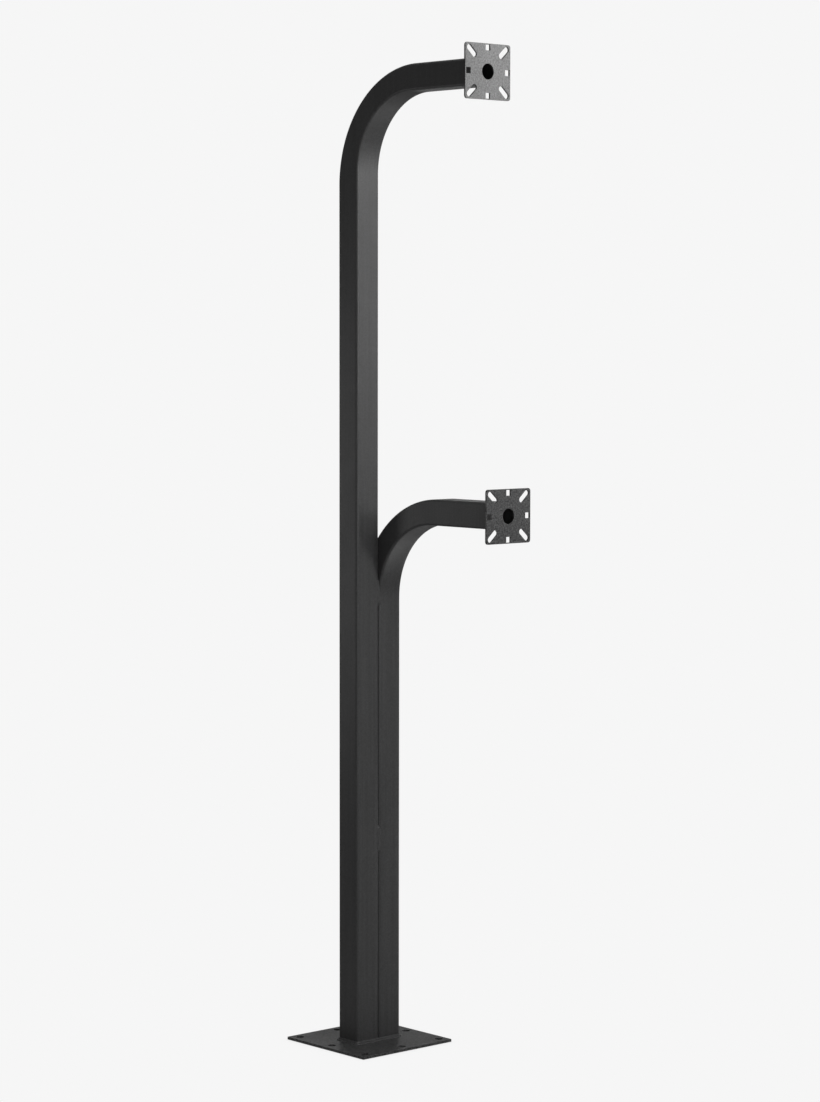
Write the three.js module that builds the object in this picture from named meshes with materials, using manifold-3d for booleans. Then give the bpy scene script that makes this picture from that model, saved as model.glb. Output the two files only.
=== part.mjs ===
// Dual-height gooseneck pedestal: two square steel tubes welded side by side on one base
// plate, each bent forward at its top and ending in a slotted face plate.
// Millimetres, +Z up.  The origin is the centre of the base plate's underside and the arms
// reach toward -Y.  The tall post stands on the -X side and the short post on the +X side.

import * as THREE from 'three';
import { mergeVertices } from 'three/addons/utils/BufferGeometryUtils.js';
import ManifoldModule from 'manifold-3d';

// ---- driving dimensions ------------------------------------------------------------------
const TUBE = 50.8;              // outside width of the square tube
const WALL = 3.04;              // tube wall, 11 gauge
const TUBE_CORNER = 4.8;        // outside corner radius of the tube
const ARM_DEPTH = 45.6;         // top to bottom of an arm, which bending draws thinner
const INNER_WALL_RADIUS = 136;  // inner wall of both bends
const OUTER_WALL_RADIUS = 200;  // the outer wall has its own arc, so the bend is pinched
const REACH = 327;              // post centreline to the back of a face plate
const UPPER_ARM_HEIGHT = 1700;  // centre of the tall post's arm above the ground
const LOWER_ARM_HEIGHT = 955;   // centre of the short post's arm above the ground

const BASE_SIZE = 209;
const BASE_THICKNESS = 4.8;
const BASE_CORNER = 1.5;
const BOLT_PITCH = 87.8;        // bolt rows each side of the centre
const BOLT_HOLE = 14.3;
const WIRE_ENTRY = 38;          // wire hole under each post

const FACE_WIDTH = 103;
const FACE_HEIGHT = 93;
const FACE_THICKNESS = 3.2;
const FACE_CORNER = 5;
const FACE_WIRE_HOLE = 26.4;
const EDGE_HOLE = 9.8;          // square holes in the middle of each side
const EDGE_HOLE_ACROSS = 44.4;  // left and right ones, from the plate centre
const EDGE_HOLE_UP = 39.9;      // top and bottom ones, from the plate centre
const SLOT_WIDTH = 10;
const SLOT_LENGTH = 26.2;
const SLOT_ACROSS = 36.5;       // slot centres from the plate centre
const SLOT_UP = 32.8;

const FOOT_BEAD = 5;            // weld leg round the foot of the posts
const ARM_BEAD = 4;             // weld leg behind each face plate
const SEAM_BEADS = [            // side, bottom and top of each weld in the seam between the posts
  ['front', 345, 392], ['front', 784, 833],
  ['back', 345, 392], ['back', 720, 768],
];
const BEAD_DOME = 0.56;         // middle of a bead's domed face, as a share of its leg
const SEAM_PROUD = 0.4;         // height of a seam weld above the tube faces
const SEAM_LAP = 0.9;           // how far it laps onto the flat faces each side
const SEAM_TOP_INSET = 0.4;     // its top is narrower than the groove by this each side
const SEAM_CLEARANCE = 0.3;     // gap it keeps to the rounded tube corners

const CORNER_STEPS = 4;
const BEND_STEPS = 24;
const LEAD_STEPS = 4;           // sections in each lead-in of a bend
const HOLE_SEGMENTS = 12;       // segments in each arc of a plate's holes
const SEAM_ROOT_STEPS = 6;      // segments in each side of a seam weld's root
const MERGE_TOLERANCE = 1e-5;
const BEND_RADIUS = INNER_WALL_RADIUS + TUBE / 2; // centreline of the tube before pinching
const RISER_LEAD = OUTER_WALL_RADIUS - INNER_WALL_RADIUS - ARM_DEPTH; // pinching starts early
const ARM_LEAD = OUTER_WALL_RADIUS - INNER_WALL_RADIUS - TUBE;        // and ends late

// ---- finishes ----------------------------------------------------------------------------
const powderCoat = new THREE.MeshStandardMaterial({ color: 0x1b1b1c, roughness: 0.5, metalness: 0 });
const coatedPlate = new THREE.MeshStandardMaterial({ color: 0x1d1d1e, roughness: 0.5, metalness: 0 });
const coatedBead = new THREE.MeshStandardMaterial({ color: 0x202021, roughness: 0.55, metalness: 0 });

const object = new THREE.Group();
object.name = 'dual_height_gooseneck_pedestal';

function addPiece(name, geometry, material) {
  const mesh = new THREE.Mesh(geometry, material);
  mesh.name = name;
  object.add(mesh);
}

// A path that visits the given stations exactly, so straight runs need only two of them.
class StationPath extends THREE.Curve {
  constructor(stations) {
    super();
    this.stations = stations;
  }
  at(t) {
    return this.stations[Math.round(t * (this.stations.length - 1))];
  }
  getPoint(t) {
    return this.at(t).point.clone();
  }
  getTangent(t) {
    return this.at(t).tangent.clone();
  }
  getUtoTmapping(u) {
    return u;
  }
}

function sweep(shape, stations) {
  return new THREE.ExtrudeGeometry(shape, {
    steps: stations.length - 1, extrudePath: new StationPath(stations), bevelEnabled: false,
  });
}

// The four rounded corners of a rectangle, counter-clockwise from the +x +y corner.
function roundedRectanglePoints(halfX, halfY, radius) {
  const points = [];
  const signs = [[1, 1], [-1, 1], [-1, -1], [1, -1]];
  signs.forEach(([sx, sy], corner) => {
    for (let step = 0; step <= CORNER_STEPS; step += 1) {
      const angle = (corner + step / CORNER_STEPS) * Math.PI / 2;
      points.push(new THREE.Vector2(
        sx * (halfX - radius) + radius * Math.cos(angle),
        sy * (halfY - radius) + radius * Math.sin(angle),
      ));
    }
  });
  return points;
}

// ---- boolean helper ----------------------------------------------------------------------
const solids = await ManifoldModule();
solids.setup();

function toSolid(geometry) {
  const bare = geometry.clone();
  bare.deleteAttribute('normal');
  bare.deleteAttribute('uv');
  const merged = mergeVertices(bare, MERGE_TOLERANCE);
  return new solids.Manifold(new solids.Mesh({
    numProp: 3,
    vertProperties: new Float32Array(merged.attributes.position.array),
    triVerts: new Uint32Array(merged.index.array),
  }));
}

function subtract(geometry, tool) {
  const mesh = toSolid(geometry).subtract(toSolid(tool)).getMesh();
  const result = new THREE.BufferGeometry();
  result.setAttribute('position', new THREE.BufferAttribute(mesh.vertProperties, 3));
  result.setIndex(new THREE.BufferAttribute(mesh.triVerts, 1));
  result.computeVertexNormals();
  return result;
}

// ---- posts -------------------------------------------------------------------------------
function tubeSection() {
  const half = TUBE / 2;
  const section = new THREE.Shape(roundedRectanglePoints(half, half, TUBE_CORNER));
  const bore = roundedRectanglePoints(half - WALL, half - WALL, TUBE_CORNER - WALL);
  section.holes.push(new THREE.Path(bore));
  return section;
}

function bendCentreHeight(armHeight) {
  return armHeight - ARM_DEPTH / 2 - INNER_WALL_RADIUS;
}

// Distance from the bend centre to the outer wall, in the direction of one section.
function outerWallInBend(angle) {
  const shift = ARM_LEAD * Math.cos(angle) + RISER_LEAD * Math.sin(angle);
  const square = OUTER_WALL_RADIUS ** 2 - ARM_LEAD ** 2 - RISER_LEAD ** 2;
  return Math.sqrt(square + shift ** 2) - shift;
}

// The same on the riser or the arm, at some distance from the bend's end.
function outerWallBeyond(distance, lead, otherLead) {
  const left = Math.max(lead - distance, 0);
  return Math.sqrt(OUTER_WALL_RADIUS ** 2 - left ** 2) - otherLead;
}

// Bending draws the outer wall in toward the inner one, most of all half way round, and the
// arm beyond stays a little thinner than the riser.
function sinkOuterWall(geometry, armHeight) {
  const position = geometry.attributes.position;
  const centreZ = bendCentreHeight(armHeight);
  const inner = INNER_WALL_RADIUS;
  const pinch = (depth, outer) => inner + (depth - inner) * (outer - inner) / TUBE;
  for (let i = 0; i < position.count; i += 1) {
    const y = position.getY(i) + BEND_RADIUS;
    const z = position.getZ(i) - centreZ;
    if (z <= 0) {
      position.setY(i, pinch(y, outerWallBeyond(-z, RISER_LEAD, ARM_LEAD)) - BEND_RADIUS);
    } else if (y <= 0) {
      position.setZ(i, pinch(z, outerWallBeyond(-y, ARM_LEAD, RISER_LEAD)) + centreZ);
    } else {
      const angle = Math.atan2(z, y);
      const radius = pinch(Math.hypot(y, z), outerWallInBend(angle));
      position.setY(i, radius * Math.cos(angle) - BEND_RADIUS);
      position.setZ(i, radius * Math.sin(angle) + centreZ);
    }
  }
  geometry.computeVertexNormals();
}

// Stations of one post: foot, lead-in, every step of the bend, lead-out, and end of the arm.
function postStations(centreX, armHeight) {
  const centreZ = bendCentreHeight(armHeight);
  const stations = [];
  const addStation = (y, z, angle) => stations.push({
    point: new THREE.Vector3(centreX, y, z),
    tangent: new THREE.Vector3(0, -Math.sin(angle), Math.cos(angle)),
  });
  addStation(0, BASE_THICKNESS, 0);
  for (let step = LEAD_STEPS; step > 0; step -= 1) {
    addStation(0, centreZ - RISER_LEAD * step / LEAD_STEPS, 0);
  }
  for (let step = 0; step <= BEND_STEPS; step += 1) {
    const angle = step / BEND_STEPS * Math.PI / 2;
    addStation(
      BEND_RADIUS * (Math.cos(angle) - 1),
      centreZ + BEND_RADIUS * Math.sin(angle),
      angle,
    );
  }
  for (let step = 1; step <= LEAD_STEPS; step += 1) {
    addStation(-BEND_RADIUS - ARM_LEAD * step / LEAD_STEPS, centreZ + BEND_RADIUS, Math.PI / 2);
  }
  addStation(-REACH, centreZ + BEND_RADIUS, Math.PI / 2);
  return stations;
}

// Each post is one bent tube.  It is kept as three solids that meet face to face, so that
// the space for wires inside it stays open in collision.
function addPost(name, centreX, armHeight) {
  const stations = postStations(centreX, armHeight);
  const runs = { riser: stations.slice(0, 2), bend: stations.slice(1, -1), arm: stations.slice(-2) };
  for (const [run, runStations] of Object.entries(runs)) {
    const geometry = sweep(tubeSection(), runStations);
    if (run !== 'riser') sinkOuterWall(geometry, armHeight);
    addPiece(`${name}_${run}`, geometry, powderCoat);
  }
}

addPost('tall_post', -TUBE / 2, UPPER_ARM_HEIGHT);
addPost('short_post', TUBE / 2, LOWER_ARM_HEIGHT);

// ---- base plate --------------------------------------------------------------------------
function roundHole(x, y, diameter) {
  return new THREE.Path().absarc(x, y, diameter / 2, 0, Math.PI * 2, false);
}

function basePlate() {
  const half = BASE_SIZE / 2;
  const outline = new THREE.Shape(roundedRectanglePoints(half, half, BASE_CORNER));
  for (const column of [-1, 0, 1]) {
    for (const row of [-1, 0, 1]) {
      if (column === 0 && row === 0) continue;
      outline.holes.push(roundHole(column * BOLT_PITCH, row * BOLT_PITCH, BOLT_HOLE));
    }
  }
  for (const side of [-1, 1]) outline.holes.push(roundHole(side * TUBE / 2, 0, WIRE_ENTRY));
  return new THREE.ExtrudeGeometry(outline, {
    depth: BASE_THICKNESS, bevelEnabled: false, curveSegments: HOLE_SEGMENTS,
  });
}

addPiece('base_plate', basePlate(), coatedPlate);

// ---- face plates -------------------------------------------------------------------------
function cornerSlot(x, y) {
  const angle = Math.atan2(y, x);
  const offset = (SLOT_LENGTH - SLOT_WIDTH) / 2;
  const alongX = offset * Math.cos(angle);
  const alongY = offset * Math.sin(angle);
  const radius = SLOT_WIDTH / 2;
  const quarter = Math.PI / 2;
  const slot = new THREE.Path();
  slot.absarc(x + alongX, y + alongY, radius, angle - quarter, angle + quarter, false);
  slot.absarc(x - alongX, y - alongY, radius, angle + quarter, angle + 3 * quarter, false);
  return slot;
}

function squareHole(x, y, size) {
  const half = size / 2;
  return new THREE.Path([
    new THREE.Vector2(x - half, y - half), new THREE.Vector2(x + half, y - half),
    new THREE.Vector2(x + half, y + half), new THREE.Vector2(x - half, y + half),
  ]);
}

function facePlate(centreX, armHeight) {
  const outline = new THREE.Shape(
    roundedRectanglePoints(FACE_WIDTH / 2, FACE_HEIGHT / 2, FACE_CORNER),
  );
  outline.holes.push(roundHole(0, 0, FACE_WIRE_HOLE));
  for (const [sx, sy] of [[1, 1], [-1, 1], [-1, -1], [1, -1]]) {
    outline.holes.push(cornerSlot(sx * SLOT_ACROSS, sy * SLOT_UP));
  }
  for (const [sx, sy] of [[1, 0], [0, 1], [-1, 0], [0, -1]]) {
    outline.holes.push(squareHole(sx * EDGE_HOLE_ACROSS, sy * EDGE_HOLE_UP, EDGE_HOLE));
  }
  const geometry = new THREE.ExtrudeGeometry(outline, {
    depth: FACE_THICKNESS, bevelEnabled: false, curveSegments: HOLE_SEGMENTS,
  });
  geometry.rotateX(Math.PI / 2);
  geometry.translate(centreX, -REACH, armHeight);
  return geometry;
}

addPiece('upper_face_plate', facePlate(-TUBE / 2, UPPER_ARM_HEIGHT), coatedPlate);
addPiece('lower_face_plate', facePlate(TUBE / 2, LOWER_ARM_HEIGHT), coatedPlate);

// ---- fillet welds ------------------------------------------------------------------------
// A slightly domed triangle: x runs down the tube face, y runs toward the tube.
function filletSection(leg) {
  const dome = leg * BEAD_DOME;
  return new THREE.Shape([
    new THREE.Vector2(0, 0), new THREE.Vector2(-leg, 0),
    new THREE.Vector2(-dome, -dome), new THREE.Vector2(0, -leg),
  ]);
}

// Four runs round a rectangle standing on z = 0, each turning half of both its corners, whose
// radius is TUBE_CORNER along x and cornerY along y.
function filletRuns(halfX, halfY, cornerY, leg) {
  const alongX = [halfX, halfY, TUBE_CORNER, cornerY];
  const alongY = [halfY, halfX, cornerY, TUBE_CORNER];
  const sides = [
    ['front', -Math.PI / 2, ...alongX], ['right', 0, ...alongY],
    ['back', Math.PI / 2, ...alongX], ['left', Math.PI, ...alongY],
  ];
  return sides.map(([side, outward, halfLength, halfDepth, cornerLength, cornerDepth]) => {
    const turn = new THREE.Matrix4().makeRotationZ(outward + Math.PI / 2);
    const stations = [];
    for (const end of [-1, 1]) {
      for (let step = 0; step <= CORNER_STEPS / 2; step += 1) {
        const lean = (end < 0 ? step - CORNER_STEPS / 2 : step) / CORNER_STEPS * Math.PI / 2;
        const point = new THREE.Vector3(
          end * (halfLength - cornerLength) + cornerLength * Math.sin(lean),
          -(halfDepth - cornerDepth) - cornerDepth * Math.cos(lean), 0,
        );
        const tangent = new THREE.Vector3(
          cornerLength * Math.cos(lean), cornerDepth * Math.sin(lean), 0,
        ).normalize();
        stations.push({ point: point.applyMatrix4(turn), tangent: tangent.applyMatrix4(turn) });
      }
    }
    return [side, sweep(filletSection(leg), stations)];
  });
}

for (const [side, geometry] of filletRuns(TUBE, TUBE / 2, TUBE_CORNER, FOOT_BEAD)) {
  geometry.translate(0, 0, BASE_THICKNESS);
  addPiece(`foot_weld_${side}`, geometry, coatedBead);
}

const ARM_CORNER = TUBE_CORNER * ARM_DEPTH / TUBE; // the tube corner as the bend flattens it
const RUN_BEHIND_PLATE = { front: 'top', back: 'bottom', left: 'left', right: 'right' };
for (const [level, centreX, armHeight] of [
  ['upper', -TUBE / 2, UPPER_ARM_HEIGHT], ['lower', TUBE / 2, LOWER_ARM_HEIGHT],
]) {
  for (const [side, geometry] of filletRuns(TUBE / 2, ARM_DEPTH / 2, ARM_CORNER, ARM_BEAD)) {
    geometry.rotateX(-Math.PI / 2);
    geometry.translate(centreX, -REACH, armHeight);
    addPiece(`${level}_arm_weld_${RUN_BEHIND_PLATE[side]}`, geometry, coatedBead);
  }
}

// ---- seam welds --------------------------------------------------------------------------
// Fills the groove between the two rounded tube corners and stands slightly proud of them.
function seamSection() {
  const face = TUBE / 2;
  const radius = TUBE_CORNER + SEAM_CLEARANCE;
  const corner = face - TUBE_CORNER;
  const points = [
    new THREE.Vector2(TUBE_CORNER + SEAM_LAP, face),
    new THREE.Vector2(TUBE_CORNER - SEAM_TOP_INSET, face + SEAM_PROUD),
    new THREE.Vector2(-TUBE_CORNER + SEAM_TOP_INSET, face + SEAM_PROUD),
    new THREE.Vector2(-TUBE_CORNER - SEAM_LAP, face),
  ];
  const start = Math.asin(TUBE_CORNER / radius);
  const finish = Math.acos(TUBE_CORNER / radius);
  const root = [];
  for (let step = 0; step <= SEAM_ROOT_STEPS; step += 1) {
    const angle = start + (finish - start) * step / SEAM_ROOT_STEPS;
    root.push([TUBE_CORNER - radius * Math.cos(angle), corner + radius * Math.sin(angle)]);
  }
  root.forEach(([x, y]) => points.push(new THREE.Vector2(-x, y)));
  root.slice(0, -1).reverse().forEach(([x, y]) => points.push(new THREE.Vector2(x, y)));
  return new THREE.Shape(points);
}

// The short post's bend swells forward beside the top front weld, so that one is cut to suit.
const grownHalf = TUBE / 2 + SEAM_CLEARANCE;
const grownSection = new THREE.Shape(
  roundedRectanglePoints(grownHalf, grownHalf, TUBE_CORNER + SEAM_CLEARANCE),
);
const shortPostClearance = sweep(grownSection, postStations(TUBE / 2, LOWER_ARM_HEIGHT));

for (const [side, bottom, top] of SEAM_BEADS) {
  let geometry = new THREE.ExtrudeGeometry(seamSection(), {
    depth: top - bottom, bevelEnabled: false,
  });
  if (side === 'front') geometry.rotateZ(Math.PI);
  geometry.translate(0, 0, bottom);
  const reachesBend = top > LOWER_ARM_HEIGHT - BEND_RADIUS;
  if (reachesBend) geometry = subtract(geometry, shortPostClearance);
  addPiece(`seam_weld_${side}_${bottom < LOWER_ARM_HEIGHT / 2 ? 'lower' : 'upper'}`, geometry, coatedBead);
}

export default object;
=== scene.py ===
"""Looks of the dual-height gooseneck pedestal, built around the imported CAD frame.

Metres, +Z up, arms toward -Y.  Every piece is generated here and stands for the CAD nodes
that it replaces: two bent square tubes, a base plate, two slotted face plates and the welds.
"""

import math

import bmesh
import bpy
from mathutils import Euler, Matrix, Vector, geometry, noise


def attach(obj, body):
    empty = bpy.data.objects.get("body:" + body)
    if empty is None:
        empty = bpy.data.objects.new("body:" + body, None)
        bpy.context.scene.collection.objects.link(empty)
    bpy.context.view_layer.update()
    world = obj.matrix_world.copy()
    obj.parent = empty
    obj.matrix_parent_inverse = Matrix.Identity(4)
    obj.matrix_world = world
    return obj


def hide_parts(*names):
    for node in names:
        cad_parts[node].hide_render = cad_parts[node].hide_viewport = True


MM = 0.001
QUARTER_TURN = math.pi / 2

# ---- driving dimensions, in metres -------------------------------------------------------
TUBE = 50.8 * MM
HALF = TUBE / 2
WALL = 3.04 * MM
TUBE_CORNER = 4.8 * MM
ARM_DEPTH = 45.6 * MM           # top to bottom of an arm, a little less than the tube
INNER_WALL_RADIUS = 136 * MM    # inner wall of both bends
OUTER_WALL_RADIUS = 200 * MM    # the outer wall's own arc, which pinches the bend
BEND_RADIUS = INNER_WALL_RADIUS + HALF
RISER_LEAD = OUTER_WALL_RADIUS - INNER_WALL_RADIUS - ARM_DEPTH
ARM_LEAD = OUTER_WALL_RADIUS - INNER_WALL_RADIUS - TUBE
REACH = 327 * MM
UPPER_ARM_HEIGHT = 1700 * MM
LOWER_ARM_HEIGHT = 955 * MM

BASE_SIZE = 209 * MM
BASE_THICKNESS = 4.8 * MM
BASE_CORNER = 1.5 * MM
BOLT_PITCH = 87.8 * MM
BOLT_HOLE = 14.3 * MM
WIRE_ENTRY = 38 * MM

FACE_WIDTH = 103 * MM
FACE_HEIGHT = 93 * MM
FACE_THICKNESS = 3.2 * MM
FACE_CORNER = 5 * MM
FACE_WIRE_HOLE = 26.4 * MM
EDGE_HOLE = 9.8 * MM
EDGE_HOLE_ACROSS = 44.4 * MM    # the square holes, from the plate centre
EDGE_HOLE_UP = 39.9 * MM
SLOT_WIDTH = 10 * MM
SLOT_LENGTH = 26.2 * MM
SLOT_ACROSS = 36.5 * MM         # the slot centres, from the plate centre
SLOT_UP = 32.8 * MM
PLATE_EDGE = 0.35 * MM          # rounding of every plate edge
EDGE_HOLE_CORNER = 0.4 * MM

FOOT_BEAD = 5 * MM
ARM_BEAD = 4 * MM
SEAM_WELDS = [                  # name, -1 front or 1 back, bottom and top
    ("seam_weld_front_lower", -1, 345 * MM, 392 * MM),
    ("seam_weld_front_upper", -1, 784 * MM, 833 * MM),
    ("seam_weld_back_lower", 1, 345 * MM, 392 * MM),
    ("seam_weld_back_upper", 1, 720 * MM, 768 * MM),
]

# ---- camera and stage --------------------------------------------------------------------
CAMERA_PLACE = (-3.5649, -4.1035, 1.2644)
CAMERA_YAW = 41.739
CAMERA_PITCH = -4.05
CAMERA_ROLL = 0.07
CAMERA_LENS = 100.45            # millimetres
CAMERA_SENSOR = 36              # millimetres, along the picture's long side
CAMERA_FAR = 100                # metres
BACKGROUND = 0.922
AMBIENT = 0.13                  # strength of the even light from all around
FLOOR_RADIUS = 9.0
FLOOR_SIDES = 96
FLOOR_DROP = 0.5 * MM           # gap between the base plate and the floor
FLOOR_BOUNCE = 0.5              # how much light the floor gives back
CONTACT_REACH = 0.05            # how far the contact shade spreads
CONTACT_TONE = 0.80             # its darkest tone, as a share of the background
CONTACT_SAMPLES = 16
SOFTBOXES = [                   # name, place, target, width, height, watts
    ("front_right_box", (1.2, -1.4, 1.4), (0, 0, 1.1), 0.8, 0.8, 7.4),
    ("front_left_fill", (-2.0, -2.4, 1.15), (0, 0, 1.05), 0.6, 0.9, 5),
    ("front_fill", (-0.1, -1.9, 1.6), (0, 0, 1.25), 0.7, 0.7, 19.5),
    ("upper_plate_kicker", (0.62, -0.98, 1.88), (-0.02, -0.33, 1.72), 0.45, 0.32, 4.3),
    ("middle_fill", (-0.6, -1.3, 0.9), (0, 0, 0.9), 0.35, 0.35, 1.4),
    ("low_right_bounce", (0.9, -0.1, 0.1), (0, -0.1, 0.95), 0.6, 0.6, 2.0),
    ("grazing_panel", (2.0, 2.0, 1.48), (0, 0, 1.45), 0.9, 0.4, 1.5),
    ("back_left_panel", (-0.75, 0.85, 0.88), (0, 0, 0.88), 0.3, 0.9, 1.4),
    ("back_fill", (1.0, 2.4, 1.5), (0, 0, 1.1), 0.9, 1.0, 6),
    ("right_fill", (2.4, 0.5, 1.2), (0, 0, 1.0), 0.6, 1.2, 6),
    ("overhead_box", (-0.3, 0.2, 3.6), (0, 0, 0.8), 2.5, 2.5, 25),
]

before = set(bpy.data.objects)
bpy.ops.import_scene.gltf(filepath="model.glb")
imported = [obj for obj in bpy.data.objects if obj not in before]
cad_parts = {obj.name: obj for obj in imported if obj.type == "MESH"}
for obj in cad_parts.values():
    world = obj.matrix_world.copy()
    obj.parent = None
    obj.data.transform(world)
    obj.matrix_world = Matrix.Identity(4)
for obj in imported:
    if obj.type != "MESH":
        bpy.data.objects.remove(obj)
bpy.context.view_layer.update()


# ---- materials ---------------------------------------------------------------------------
COAT_IOR = 1.5
COAT_SPECULAR = 0.42
NOISE_RANGE = (0.3, 0.7)        # the part of a noise's range that is spread out
FLECK_SCALE = 900               # noise scales: the larger, the finer
FLECK_CONTRAST = 0.2
GRAIN_SCALE = 330
LINE_SCALE = 260
LINE_STRETCH = (1, 1, 0.02)     # draws the lines out along the posts
LINE_GLOSS = 0.3                # how much of the lines' contrast shows in the gloss
CLOUD_SCALE = 16
CLOUD_GLOSS = 0.03
PEEL_SCALE = 520
PEEL_STRENGTH = 0.35
WAVE_SCALE = 22                 # the broad unevenness of the steel under the coat
WAVE_STRENGTH = 0.25
WAVE_HEIGHT = 0.6 * MM
BLUE_TINT = 1.01                # the coat's blue, against its red and green


def powder_coat(name, tone, roughness, peel, grain, draw_lines=0.0):
    """Satin black powder coat: orange-peel bump, grainy mottling and cloudy gloss.

    peel is the height of the orange peel, and grain the contrast of the mottling.
    draw_lines is the contrast of faint lines along the posts.
    """
    material = bpy.data.materials.new(name)
    material.use_nodes = True
    nodes, links = material.node_tree.nodes, material.node_tree.links
    shader = nodes["Principled BSDF"]
    shader.inputs["Metallic"].default_value = 0.0
    shader.inputs["IOR"].default_value = COAT_IOR
    shader.inputs["Specular IOR Level"].default_value = COAT_SPECULAR
    place = nodes.new("ShaderNodeTexCoord")

    def noise_layer(scale, detail, stretch=(1, 1, 1)):
        mapping = nodes.new("ShaderNodeMapping")
        mapping.inputs["Scale"].default_value = stretch
        links.new(place.outputs["Object"], mapping.inputs["Vector"])
        layer = nodes.new("ShaderNodeTexNoise")
        layer.inputs["Scale"].default_value = scale
        layer.inputs["Detail"].default_value = detail
        links.new(mapping.outputs["Vector"], layer.inputs["Vector"])
        return layer.outputs["Fac"]

    def spread(source, low, high):
        mapping = nodes.new("ShaderNodeMapRange")
        mapping.inputs["From Min"].default_value = NOISE_RANGE[0]
        mapping.inputs["From Max"].default_value = NOISE_RANGE[1]
        mapping.inputs["To Min"].default_value = low
        mapping.inputs["To Max"].default_value = high
        links.new(source, mapping.inputs["Value"])
        return mapping.outputs["Result"]

    def combined(operation, first, second):
        node = nodes.new("ShaderNodeMath")
        node.operation = operation
        links.new(first, node.inputs[0])
        links.new(second, node.inputs[1])
        return node.outputs["Value"]

    # tone: fine flecks, a coarser grain, and the tube's own draw lines
    flecks = spread(noise_layer(FLECK_SCALE, 2), 1 - FLECK_CONTRAST, 1 + FLECK_CONTRAST)
    mottling = spread(noise_layer(GRAIN_SCALE, 2), 1 - grain, 1 + grain)
    shade = combined("MULTIPLY", flecks, mottling)
    lines = noise_layer(LINE_SCALE, 2, LINE_STRETCH)
    shade = combined("MULTIPLY", shade, spread(lines, 1 - draw_lines, 1 + draw_lines))
    tint = nodes.new("ShaderNodeVectorMath")
    tint.operation = "SCALE"
    tint.inputs[0].default_value = (tone, tone, tone * BLUE_TINT)
    links.new(shade, tint.inputs["Scale"])
    links.new(tint.outputs["Vector"], shader.inputs["Base Color"])

    # gloss: cloudy, and a little uneven along the draw lines
    clouds = spread(noise_layer(CLOUD_SCALE, 4), roughness - CLOUD_GLOSS, roughness + CLOUD_GLOSS)
    uneven = LINE_GLOSS * draw_lines
    streaks = spread(lines, 1 - uneven, 1 + uneven)
    links.new(combined("MULTIPLY", clouds, streaks), shader.inputs["Roughness"])

    def bump(height, strength, distance):
        node = nodes.new("ShaderNodeBump")
        node.inputs["Strength"].default_value = strength
        node.inputs["Distance"].default_value = distance
        links.new(height, node.inputs["Height"])
        return node

    fine = bump(noise_layer(PEEL_SCALE, 2), PEEL_STRENGTH, peel)
    broad = bump(noise_layer(WAVE_SCALE, 1), WAVE_STRENGTH, WAVE_HEIGHT)
    links.new(fine.outputs["Normal"], broad.inputs["Normal"])
    links.new(broad.outputs["Normal"], shader.inputs["Normal"])
    return material


TUBE_COAT = powder_coat("tube_powder_coat", tone=0.036, roughness=0.46, peel=0.14 * MM,
                        grain=0.15, draw_lines=0.12)
PLATE_COAT = powder_coat("plate_powder_coat", tone=0.038, roughness=0.36, peel=0.65 * MM,
                         grain=0.95)
WELD_COAT = powder_coat("weld_powder_coat", tone=0.032, roughness=0.58, peel=0.10 * MM,
                        grain=0.20)


# ---- mesh helpers ------------------------------------------------------------------------
MERGE_DISTANCE = 1e-7
TUBE_SHARP = 30                 # edges that turn by at least this many degrees look sharp
PLATE_SHARP = 12
WELD_SHARP = 50


def loft(rings, wrap):
    """Quads between closed rings of points; wrap also joins the last ring to the first."""
    count = len(rings[0])
    points = [point for ring in rings for point in ring]
    faces = []
    for r in range(len(rings) if wrap else len(rings) - 1):
        a, b = r * count, (r + 1) % len(rings) * count
        for i in range(count):
            j = (i + 1) % count
            faces.append((a + i, a + j, b + j, b + i))
    return points, faces


def add_piece(name, points, faces, material, stands_for, sharp_degrees):
    """Makes a closed, outward-facing mesh piece that stands for the named CAD nodes.

    Shading is smooth except over edges that turn by at least sharp_degrees.
    """
    mesh = bpy.data.meshes.new(name)
    mesh.from_pydata([tuple(p) for p in points], [], faces)
    edit = bmesh.new()
    edit.from_mesh(mesh)
    bmesh.ops.remove_doubles(edit, verts=edit.verts, dist=MERGE_DISTANCE)
    bmesh.ops.recalc_face_normals(edit, faces=edit.faces)
    for face in edit.faces:
        face.smooth = True
    for edge in edit.edges:
        edge.smooth = edge.calc_face_angle(0) < math.radians(sharp_degrees)
    edit.to_mesh(mesh)
    edit.free()
    mesh.materials.append(material)
    piece = bpy.data.objects.new(name, mesh)
    bpy.context.scene.collection.objects.link(piece)
    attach(piece, "root")
    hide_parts(*stands_for)
    return piece


def smooth_step(value):
    t = min(max(value, 0.0), 1.0)
    return t * t * (3 - 2 * t)


def rounded_square(half, radius, corner_steps=8, flat_steps=8):
    """Points round a rounded square, with its flats divided so that they can be dished."""
    points = []
    flat = half - radius
    for quarter in range(4):
        start = quarter * QUARTER_TURN
        turn = complex(math.cos(start), math.sin(start))
        for step in range(corner_steps + 1):
            angle = step / corner_steps * QUARTER_TURN
            points.append(turn * complex(flat + radius * math.cos(angle),
                                         flat + radius * math.sin(angle)))
        for step in range(1, flat_steps):
            points.append(turn * complex(flat - 2 * flat * step / flat_steps, half))
    return [(point.real, point.imag) for point in points]


# ---- posts -------------------------------------------------------------------------------
BEND_STEPS = 72
LEAD_STEPS = 12
RISER_STOPS = (0, 0.004, 0.25, 0.5, 0.75, 1)    # sections, as shares of the run's length
ARM_STOPS = (0.5, 0.98, 1)
OUTER_DISH = 1.2 * MM           # extra sinking in the middle of a bend's outer wall
INNER_DISH = 0.7 * MM           # the same on its inner wall
DISH_START = 0.6                # the dish grows from this share of the half width...
DISH_GROWTH = 0.3               # ...over this share more, so only those two walls are dished


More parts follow.
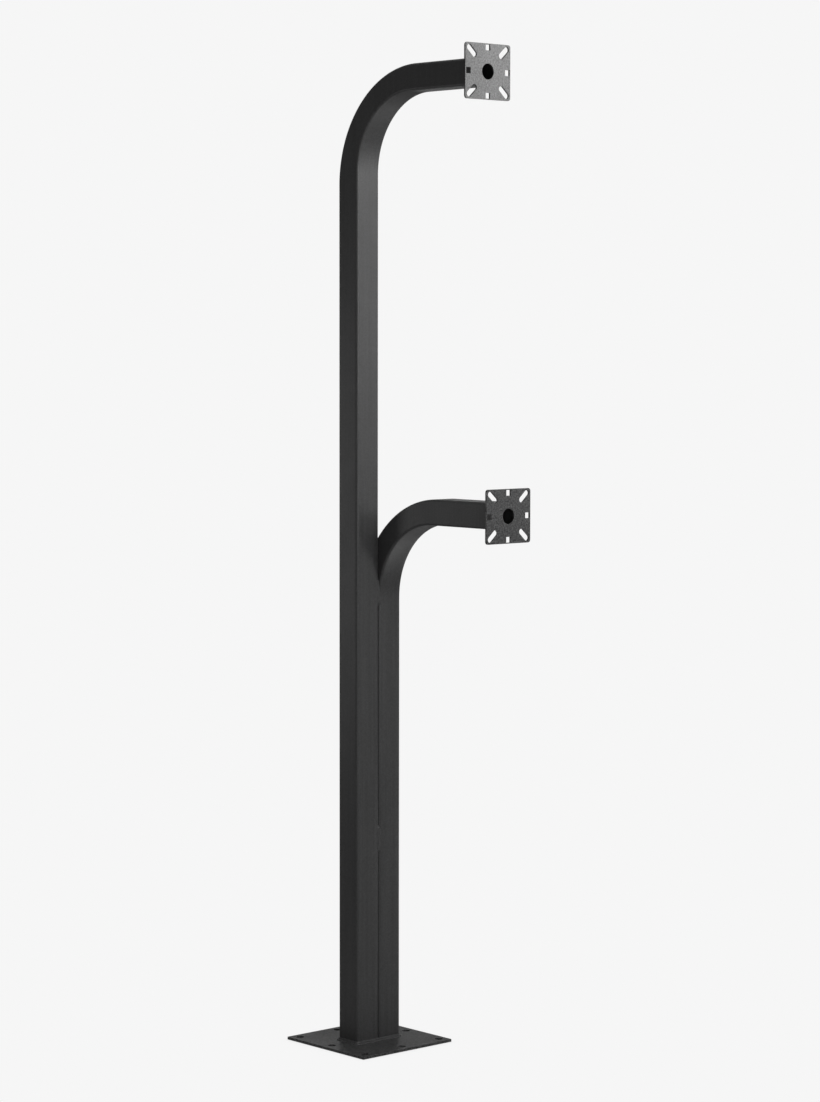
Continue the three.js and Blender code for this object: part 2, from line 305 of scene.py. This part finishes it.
def wall_in_bend(angle):
    """Distance from the bend's centre to the outer wall, in the direction of one section."""
    shift = ARM_LEAD * math.cos(angle) + RISER_LEAD * math.sin(angle)
    square = OUTER_WALL_RADIUS ** 2 - ARM_LEAD ** 2 - RISER_LEAD ** 2
    return math.sqrt(square + shift ** 2) - shift


def wall_beyond(distance, lead, other_lead):
    """The same on the riser or the arm, at some distance from the bend's end."""
    left = max(lead - distance, 0)
    return math.sqrt(OUTER_WALL_RADIUS ** 2 - left ** 2) - other_lead


def post_ring(section, centre_x, y, z, angle, outer):
    """One section of a post.  Its first coordinate runs toward the inside of the bend.

    outer is the outer wall's distance from the bend's centre.
    """
    pinch = (outer - INNER_WALL_RADIUS) / TUBE
    fade = math.sin(2 * angle)
    ring = []
    for inward, side in section:
        across = max(0.0, 1 - (side / HALF) ** 2)
        dish = OUTER_DISH if inward < 0 else -INNER_DISH
        wallward = smooth_step((abs(inward) / HALF - DISH_START) / DISH_GROWTH)
        depth = HALF - (HALF - inward) * pinch + dish * fade * across * wallward
        ring.append(Vector((
            centre_x + side,
            y - depth * math.cos(angle),
            z - depth * math.sin(angle),
        )))
    return ring


def add_post(name, centre_x, arm_height):
    centre_z = arm_height - ARM_DEPTH / 2 - INNER_WALL_RADIUS
    top = centre_z + BEND_RADIUS
    full = INNER_WALL_RADIUS + TUBE
    riser = centre_z - RISER_LEAD - BASE_THICKNESS
    places = [(0.0, BASE_THICKNESS + t * riser, 0.0, full) for t in RISER_STOPS]
    for step in range(LEAD_STEPS - 1, 0, -1):
        before = RISER_LEAD * step / LEAD_STEPS
        places.append((0.0, centre_z - before, 0.0, wall_beyond(before, RISER_LEAD, ARM_LEAD)))
    for step in range(BEND_STEPS + 1):
        angle = step / BEND_STEPS * QUARTER_TURN
        places.append((BEND_RADIUS * (math.cos(angle) - 1),
                       centre_z + BEND_RADIUS * math.sin(angle), angle, wall_in_bend(angle)))
    for step in range(1, LEAD_STEPS + 1):
        past = ARM_LEAD * step / LEAD_STEPS
        places.append((-BEND_RADIUS - past, top, QUARTER_TURN,
                       wall_beyond(past, ARM_LEAD, RISER_LEAD)))
    end = BEND_RADIUS + ARM_LEAD
    for t in ARM_STOPS:
        places.append((-end - t * (REACH - end), top, QUARTER_TURN, INNER_WALL_RADIUS + ARM_DEPTH))
    outside = rounded_square(HALF, TUBE_CORNER)
    inside = rounded_square(HALF - WALL, TUBE_CORNER - WALL)
    rings = [post_ring(outside, centre_x, *place) for place in places]
    rings += [post_ring(inside, centre_x, *place) for place in reversed(places)]
    points, faces = loft(rings, wrap=True)
    nodes = [f"{name}_{run}" for run in ("riser", "bend", "arm")]
    add_piece(f"{name}_tube", points, faces, TUBE_COAT, nodes, TUBE_SHARP)


add_post("tall_post", -HALF, UPPER_ARM_HEIGHT)
add_post("short_post", HALF, LOWER_ARM_HEIGHT)


# ---- plates ------------------------------------------------------------------------------
PLATE_EDGE_STEPS = 3
PLATE_CORNER_STEPS = 8
SLOT_END_STEPS = 24
LEAST_CORNER = 0.02 * MM


def arc(x, y, radius, start, finish, steps):
    return [(x + radius * math.cos(start + (finish - start) * step / steps),
             y + radius * math.sin(start + (finish - start) * step / steps))
            for step in range(steps + 1)]


def rectangle_loop(width, height, radius, x=0.0, y=0.0):
    """A function that gives the rounded rectangle grown by any amount."""
    def loop(grow):
        half_x, half_y = width / 2 + grow, height / 2 + grow
        corner = max(radius + grow, LEAST_CORNER)
        points = []
        for quarter in range(4):
            start = quarter * QUARTER_TURN
            sx = 1 if quarter in (0, 3) else -1
            sy = 1 if quarter < 2 else -1
            points += arc(x + sx * (half_x - corner), y + sy * (half_y - corner), corner,
                          start, start + QUARTER_TURN, PLATE_CORNER_STEPS)
        return points
    return loop


def circle_loop(x, y, diameter, steps=48):
    return lambda grow: arc(x, y, diameter / 2 + grow, 0, math.tau, steps)[:-1]


def slot_loop(x, y):
    """A slot pointing at the plate's centre."""
    angle = math.atan2(y, x)
    offset = (SLOT_LENGTH - SLOT_WIDTH) / 2
    along = (offset * math.cos(angle), offset * math.sin(angle))

    def loop(grow):
        radius = SLOT_WIDTH / 2 + grow
        return (arc(x + along[0], y + along[1], radius,
                    angle - QUARTER_TURN, angle + QUARTER_TURN, SLOT_END_STEPS)
                + arc(x - along[0], y - along[1], radius,
                      angle + QUARTER_TURN, angle + 3 * QUARTER_TURN, SLOT_END_STEPS))
    return loop


def plate_mesh(outline, holes, thickness, to_world):
    """A plate with rounded edges: walls round every loop, and a face over each side."""
    levels = []
    for step in range(PLATE_EDGE_STEPS + 1):
        lean = step / PLATE_EDGE_STEPS * QUARTER_TURN
        levels.append((PLATE_EDGE * (1 - math.sin(lean)), PLATE_EDGE * (1 - math.cos(lean))))
    levels += [(inset, thickness - depth) for inset, depth in reversed(levels)]
    points, faces, rims = [], [], {0: [], len(levels) - 1: []}
    for index, loop in enumerate([outline] + holes):
        sign = -1 if index == 0 else 1
        rings = [[to_world(a, b, depth) for a, b in loop(sign * inset)]
                 for inset, depth in levels]
        new_points, new_faces = loft(rings, wrap=False)
        start, count = len(points), len(rings[0])
        points += new_points
        faces += [tuple(start + i for i in face) for face in new_faces]
        for level, rim in rims.items():
            flat = [Vector((a, b, 0)) for a, b in loop(sign * levels[level][0])]
            rim.append(([start + level * count + i for i in range(count)], flat))
    for rim in rims.values():
        index_of = [i for indices, _ in rim for i in indices]
        triangles = geometry.tessellate_polygon([flat for _, flat in rim])
        faces += [tuple(index_of[i] for i in triangle) for triangle in triangles]
    return points, faces


bolt_holes = [circle_loop(column * BOLT_PITCH, row * BOLT_PITCH, BOLT_HOLE)
              for column in (-1, 0, 1) for row in (-1, 0, 1) if (column, row) != (0, 0)]
wire_entries = [circle_loop(side * HALF, 0, WIRE_ENTRY) for side in (-1, 1)]
points, faces = plate_mesh(rectangle_loop(BASE_SIZE, BASE_SIZE, BASE_CORNER),
                           bolt_holes + wire_entries, BASE_THICKNESS,
                           lambda a, b, depth: Vector((a, b, depth)))
add_piece("base_plate_steel", points, faces, PLATE_COAT, ["base_plate"], PLATE_SHARP)

face_holes = [circle_loop(0, 0, FACE_WIRE_HOLE)]
face_holes += [slot_loop(sx * SLOT_ACROSS, sy * SLOT_UP) for sx in (-1, 1) for sy in (-1, 1)]
face_holes += [rectangle_loop(EDGE_HOLE, EDGE_HOLE, EDGE_HOLE_CORNER, x, y)
               for x, y in ((EDGE_HOLE_ACROSS, 0), (0, EDGE_HOLE_UP),
                            (-EDGE_HOLE_ACROSS, 0), (0, -EDGE_HOLE_UP))]
for level, centre_x, arm_height in (("upper", -HALF, UPPER_ARM_HEIGHT),
                                    ("lower", HALF, LOWER_ARM_HEIGHT)):
    points, faces = plate_mesh(
        rectangle_loop(FACE_WIDTH, FACE_HEIGHT, FACE_CORNER), face_holes, FACE_THICKNESS,
        lambda a, b, depth: Vector((centre_x + a, -REACH - depth, arm_height + b)))
    add_piece(f"{level}_face_plate_steel", points, faces, PLATE_COAT,
              [f"{level}_face_plate"], PLATE_SHARP)


# ---- fillet welds ------------------------------------------------------------------------
RIPPLE_PITCH = 1.9 * MM
RIPPLE_SAMPLES = 4              # sections in each ripple
RIPPLE_HEIGHT = 0.055           # heights and thicknesses are shares of the bead's leg
WANDER_HEIGHT = 0.05
BEAD_TOE = 0.98                 # how high the bead climbs the tube
TOE_RIPPLE = 0.4                # share of the ripple that shows there
BEAD_WAIST = 0.60               # thickness of the bead half way round its face
BEAD_SWELL = 0.40               # and what its two toes have over that
SWELL_POWER = 1.5
WANDER_SCALE = 55
BEAD_ROOT = 0.4 * MM            # how far the bead reaches into the tube wall
LEAST_SIDE_STEPS = 8            # sections along a straight side, at least
BEAD_CORNER_STEPS = 12
BEAD_FACE_STEPS = 8
FOOT_SIDES = ("front", "right", "back", "left")
ARM_SIDES = ("top", "right", "bottom", "left")


def fillet_ring(half_x, half_y, leg, seed):
    """A rippled weld bead round a rectangular foot standing on z = 0, as closed sections."""
    straight = [(half_x - TUBE_CORNER) * 2, (half_y - TUBE_CORNER) * 2]
    stations = []
    for side in range(4):
        length = straight[side % 2]
        half_depth = (half_y, half_x)[side % 2] - TUBE_CORNER
        turn = complex(math.cos(side * QUARTER_TURN), math.sin(side * QUARTER_TURN))
        steps = max(LEAST_SIDE_STEPS, round(length / (RIPPLE_PITCH / RIPPLE_SAMPLES)))
        for step in range(steps):
            place = turn * complex(-length / 2 + length * step / steps,
                                   -half_depth - TUBE_CORNER)
            stations.append((place, turn * -1j))
        for step in range(BEAD_CORNER_STEPS):
            lean = step / BEAD_CORNER_STEPS * QUARTER_TURN
            out = turn * complex(math.sin(lean), -math.cos(lean))
            corner = turn * complex(length / 2, -half_depth)
            stations.append((corner + out * TUBE_CORNER, out))
    rings, travelled, last = [], 0.0, stations[0][0]
    for place, out in stations:
        travelled += abs(place - last)
        last = place
        wander = noise.noise(Vector((travelled * WANDER_SCALE, seed, 0.0)))
        phase = travelled / RIPPLE_PITCH % 1.0
        ripple = RIPPLE_HEIGHT * (1 - phase) ** 2 + WANDER_HEIGHT * wander
        ring = [(-BEAD_ROOT, 0.0), (-BEAD_ROOT, leg * (BEAD_TOE + ripple * TOE_RIPPLE))]
        for step in range(BEAD_FACE_STEPS + 1):
            lean = step / BEAD_FACE_STEPS * QUARTER_TURN
            swell = BEAD_WAIST + BEAD_SWELL * abs(math.cos(2 * lean)) ** SWELL_POWER + ripple
            ring.append((leg * swell * math.sin(lean), leg * swell * math.cos(lean)))
        rings.append([Vector((place.real + out.real * d, place.imag + out.imag * d, h))
                      for d, h in ring])
    return rings


foot = fillet_ring(TUBE, HALF, FOOT_BEAD, 3.1)
foot = [[point + Vector((0, 0, BASE_THICKNESS)) for point in ring] for ring in foot]
points, faces = loft(foot, wrap=True)
add_piece("foot_weld_bead", points, faces, WELD_COAT,
          [f"foot_weld_{side}" for side in FOOT_SIDES], WELD_SHARP)

for level, centre_x, arm_height, seed in (("upper", -HALF, UPPER_ARM_HEIGHT, 5.7),
                                          ("lower", HALF, LOWER_ARM_HEIGHT, 9.2)):
    bead = [[Vector((centre_x + p.x, -REACH + p.z, arm_height - p.y)) for p in ring]
            for ring in fillet_ring(HALF, ARM_DEPTH / 2, ARM_BEAD, seed)]
    points, faces = loft(bead, wrap=True)
    add_piece(f"{level}_arm_weld_bead", points, faces, WELD_COAT,
              [f"{level}_arm_weld_{side}" for side in ARM_SIDES], WELD_SHARP)


# ---- seam welds --------------------------------------------------------------------------
SEAM_STEPS = 40
SEAM_TAPER = 0.12               # share of the length over which each end runs out
SEAM_WANDER_SCALE = 9
SEAM_SEED_SCALE = 40            # spreads the welds' bottom heights apart as noise seeds, so welds that start at different heights wander differently
SEAM_END_WIDTH = 0.55           # width at the very ends, as a share of the full width
SEAM_WANDER = 0.5 * MM          # how much the half width wanders
SEAM_PROUD = 0.22 * MM          # height over the tube faces
SEAM_PROUD_WANDER = 0.10 * MM
SEAM_END_DEPTH = 1.6 * MM       # how deep the ends sink into the groove
SEAM_EDGE_DROP = 0.1 * MM
SEAM_COLUMNS = 8
SEAM_ROOT_WIDTH = 0.4
SEAM_ROOT_DEPTH = 2.6 * MM


def add_seam_weld(name, facing, bottom, top):
    """A weld ground almost flush: it fills the groove between the two tube corners."""
    rings = []
    for step in range(SEAM_STEPS + 1):
        t = step / SEAM_STEPS
        z = bottom + (top - bottom) * t
        taper = smooth_step(t / SEAM_TAPER) * smooth_step((1 - t) / SEAM_TAPER)
        wander = noise.noise(Vector((t * SEAM_WANDER_SCALE, bottom * SEAM_SEED_SCALE, 2.0)))
        width = SEAM_END_WIDTH + (1 - SEAM_END_WIDTH) * taper
        reach = TUBE_CORNER * width + SEAM_WANDER * wander * taper
        proud = (SEAM_PROUD + SEAM_PROUD_WANDER * wander) * taper
        proud -= SEAM_END_DEPTH * (1 - taper)
        ring = []
        for column in range(SEAM_COLUMNS + 1):
            side = -1 + 2 * column / SEAM_COLUMNS
            crown = proud * (1 - side * side) - SEAM_EDGE_DROP * side * side
            ring.append(Vector((side * reach, facing * (HALF + crown), z)))
        root = facing * (HALF - SEAM_ROOT_DEPTH)
        ring.append(Vector((reach * SEAM_ROOT_WIDTH, root, z)))
        ring.append(Vector((-reach * SEAM_ROOT_WIDTH, root, z)))
        rings.append(ring)
    points, faces = loft(rings, wrap=False)
    count = len(rings[0])
    faces.append(tuple(range(count)))
    faces.append(tuple(SEAM_STEPS * count + i for i in range(count)))
    add_piece(name + "_bead", points, faces, WELD_COAT, [name], WELD_SHARP)


for seam_weld in SEAM_WELDS:
    add_seam_weld(*seam_weld)


# ---- stage -------------------------------------------------------------------------------
def add_floor():
    """A pale floor that fades into the backdrop, with a faint contact shade at the base.

    It is clear from below, so that views from under it are not blank.
    """
    mesh = bpy.data.meshes.new("floor")
    angles = [i / FLOOR_SIDES * math.tau for i in range(FLOOR_SIDES)]
    rim = [(FLOOR_RADIUS * math.cos(a), FLOOR_RADIUS * math.sin(a), -FLOOR_DROP) for a in angles]
    mesh.from_pydata(rim, [], [tuple(range(FLOOR_SIDES))])
    floor = bpy.data.objects.new("floor", mesh)
    bpy.context.scene.collection.objects.link(floor)
    material = bpy.data.materials.new("floor_paper")
    material.use_nodes = True
    nodes, links = material.node_tree.nodes, material.node_tree.links
    nodes.clear()
    path = nodes.new("ShaderNodeLightPath")
    shade = nodes.new("ShaderNodeAmbientOcclusion")
    shade.inputs["Distance"].default_value = CONTACT_REACH
    shade.samples = CONTACT_SAMPLES
    tone = nodes.new("ShaderNodeMapRange")
    tone.inputs["To Min"].default_value = BACKGROUND * CONTACT_TONE
    tone.inputs["To Max"].default_value = BACKGROUND
    links.new(shade.outputs["AO"], tone.inputs["Value"])
    seen = nodes.new("ShaderNodeEmission")
    links.new(tone.outputs["Result"], seen.inputs["Color"])
    bounce = nodes.new("ShaderNodeBsdfDiffuse")
    bounce.inputs["Color"].default_value = (FLOOR_BOUNCE, FLOOR_BOUNCE, FLOOR_BOUNCE, 1)
    mix = nodes.new("ShaderNodeMixShader")
    links.new(path.outputs["Is Camera Ray"], mix.inputs["Fac"])
    links.new(bounce.outputs["BSDF"], mix.inputs[1])
    links.new(seen.outputs["Emission"], mix.inputs[2])
    side = nodes.new("ShaderNodeNewGeometry")
    clear = nodes.new("ShaderNodeBsdfTransparent")
    one_sided = nodes.new("ShaderNodeMixShader")
    links.new(side.outputs["Backfacing"], one_sided.inputs["Fac"])
    links.new(mix.outputs["Shader"], one_sided.inputs[1])
    links.new(clear.outputs["BSDF"], one_sided.inputs[2])
    output = nodes.new("ShaderNodeOutputMaterial")
    links.new(one_sided.outputs["Shader"], output.inputs["Surface"])
    mesh.materials.append(material)


def add_world():
    world = bpy.data.worlds.new("studio")
    bpy.context.scene.world = world
    world.use_nodes = True
    nodes, links = world.node_tree.nodes, world.node_tree.links
    nodes.clear()
    path = nodes.new("ShaderNodeLightPath")
    seen = nodes.new("ShaderNodeBackground")
    seen.inputs["Color"].default_value = (BACKGROUND, BACKGROUND, BACKGROUND, 1)
    ambient = nodes.new("ShaderNodeBackground")
    ambient.inputs["Color"].default_value = (1, 1, 1, 1)
    ambient.inputs["Strength"].default_value = AMBIENT
    mix = nodes.new("ShaderNodeMixShader")
    links.new(path.outputs["Is Camera Ray"], mix.inputs["Fac"])
    links.new(ambient.outputs["Background"], mix.inputs[1])
    links.new(seen.outputs["Background"], mix.inputs[2])
    output = nodes.new("ShaderNodeOutputWorld")
    links.new(mix.outputs["Shader"], output.inputs["Surface"])


def add_softbox(name, place, target, width, height, power):
    light = bpy.data.lights.new(name, "AREA")
    light.shape = "RECTANGLE"
    light.size, light.size_y = width, height
    light.energy = power
    holder = bpy.data.objects.new(name, light)
    bpy.context.scene.collection.objects.link(holder)
    holder.location = place
    holder.rotation_euler = (Vector(target) - Vector(place)).to_track_quat("-Z", "Y").to_euler()
    holder.visible_camera = False


def add_camera():
    camera = bpy.data.objects.new("camera", bpy.data.cameras.new("camera"))
    bpy.context.scene.collection.objects.link(camera)
    camera.data.sensor_width = CAMERA_SENSOR
    camera.data.lens = CAMERA_LENS
    camera.data.clip_end = CAMERA_FAR
    camera.location = CAMERA_PLACE
    yaw, pitch = math.radians(CAMERA_YAW), math.radians(CAMERA_PITCH)
    aim = Euler((QUARTER_TURN + pitch, 0, -yaw)).to_matrix()
    camera.rotation_euler = (aim @ Matrix.Rotation(math.radians(CAMERA_ROLL), 3, "Z")).to_euler()
    bpy.context.scene.camera = camera


add_floor()
add_world()
for softbox in SOFTBOXES:
    add_softbox(*softbox)
add_camera()
bpy.context.scene.view_settings.view_transform = "Standard"
